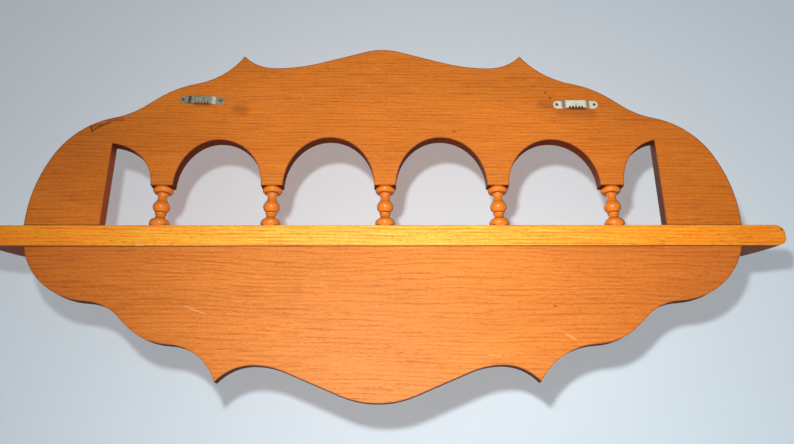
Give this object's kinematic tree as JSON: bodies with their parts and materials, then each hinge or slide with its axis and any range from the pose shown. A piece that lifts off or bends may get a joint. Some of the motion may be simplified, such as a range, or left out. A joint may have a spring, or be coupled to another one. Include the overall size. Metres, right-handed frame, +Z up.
{
  "type": "wall plate rack",
  "caption": "Wall plate rack with a scalloped arched back board on turned spindles, a shelf with a plate groove and a scalloped apron below.",
  "frame": {"origin": "on the wall plane, in the middle of the shelf's back edge", "axes": "+X along the rack to the right as seen from the room, -Y to the room, +Y to the wall, +Z up"},
  "size_m": [0.748, 0.0916, 0.3539],
  "materials": {
    "stained_oak": "satin",
    "turned_oak": "satin",
    "dowel_beech": "matte",
    "hanger_steel": "satin",
    "nail_steel": "satin"
  },
  "bodies": {
    "root": {"upper_board": "stained_oak", "lower_board": "stained_oak", "shelf": "stained_oak", "spindle_1": "turned_oak", "spindle_2": "turned_oak", "spindle_3": "turned_oak", "spindle_4": "turned_oak", "spindle_5": "turned_oak", "stile_dowel_1": "dowel_beech", "stile_dowel_2": "dowel_beech", "stile_dowel_3": "dowel_beech", "stile_dowel_4": "dowel_beech", "apron_dowel_1": "dowel_beech", "apron_dowel_2": "dowel_beech", "apron_dowel_3": "dowel_beech", "apron_dowel_4": "dowel_beech", "apron_dowel_5": "dowel_beech", "apron_dowel_6": "dowel_beech", "sawtooth_hanger_left": "hanger_steel", "sawtooth_hanger_right": "hanger_steel", "hanger_nail_1": "nail_steel", "hanger_nail_2": "nail_steel", "hanger_nail_3": "nail_steel", "hanger_nail_4": "nail_steel"}
  },
  "joints": []
}
